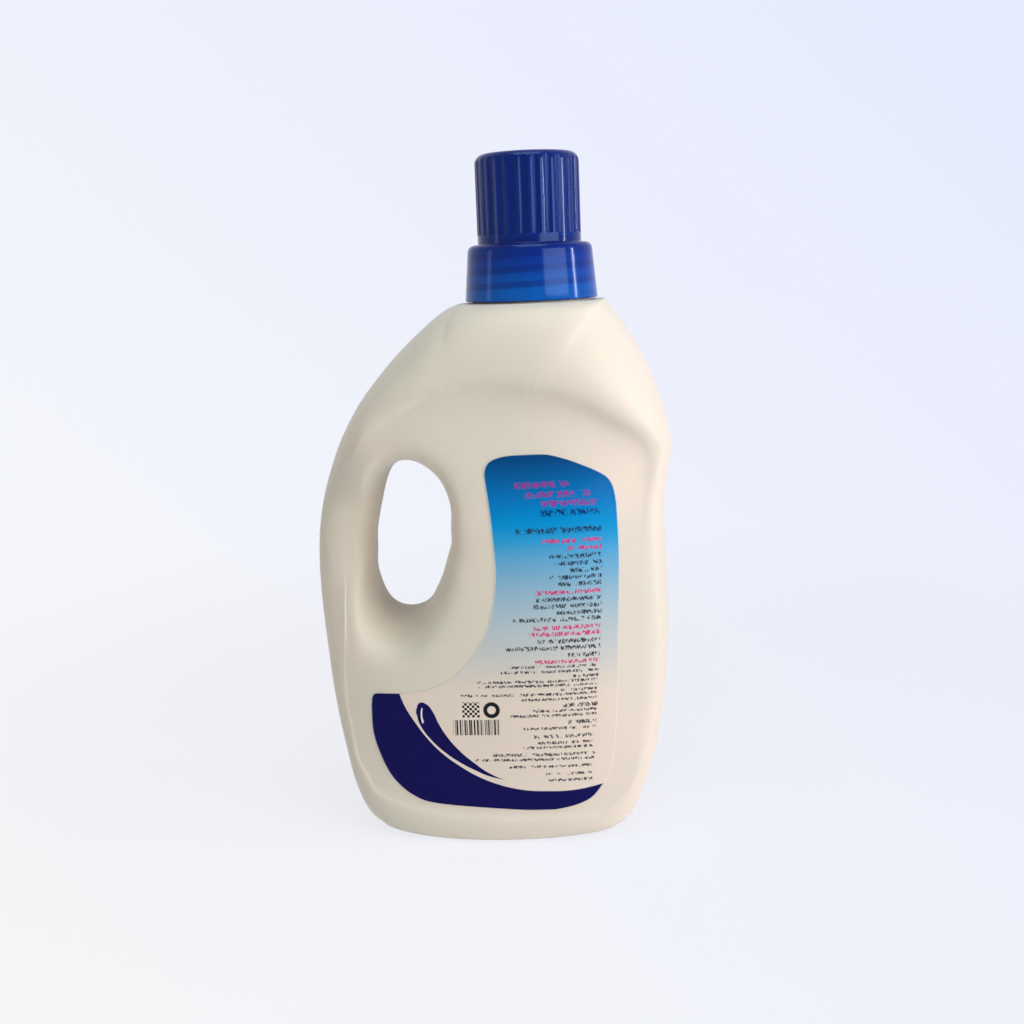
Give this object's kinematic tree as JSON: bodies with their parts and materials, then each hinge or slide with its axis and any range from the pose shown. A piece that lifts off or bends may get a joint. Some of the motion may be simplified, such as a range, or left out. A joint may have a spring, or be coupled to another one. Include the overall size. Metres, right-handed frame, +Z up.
{
  "type": "floor cleaner bottle",
  "caption": "Blown jug bottle with an oval grip hole, a recessed label panel, a pouring fitment and a fluted screw cap, filled with floor cleaner.",
  "frame": {"origin": "middle of the flat base, on the surface it stands on", "axes": "+Z up along the neck, -Y towards the front label, -X towards the handle"},
  "size_m": [0.1649, 0.095, 0.304],
  "materials": {
    "blown_plastic": "satin natural polyethylene",
    "label_film": "printed clear film",
    "spout_plastic": "natural moulded plastic",
    "cleaner": "liquid",
    "ring_foam": "soft polyethylene",
    "cap_plastic": "translucent blue moulded plastic"
  },
  "bodies": {
    "bottle": {"bottle": "blown_plastic", "label": "label_film", "pour_spout": "spout_plastic", "cleaner_fill": "cleaner"},
    "ring_carrier": {"sealing_ring": "ring_foam"},
    "cap": {"cap": "cap_plastic"}
  },
  "joints": [
    {"name": "cap_lift", "type": "slide", "parent": "bottle", "child": "ring_carrier", "axis": [0, 0, 1], "range_m": [-0.0001, 0.0164]},
    {"name": "cap_turn", "type": "hinge", "parent": "ring_carrier", "child": "cap", "pos_m": [0.021, 0, 0.25], "axis": [0, 0, 1], "range_deg": [0, 900]}
  ],
  "couplings": [
    {"joint": "cap_lift", "follows": "cap_turn", "m_per_rad": 0.0010345}
  ]
}
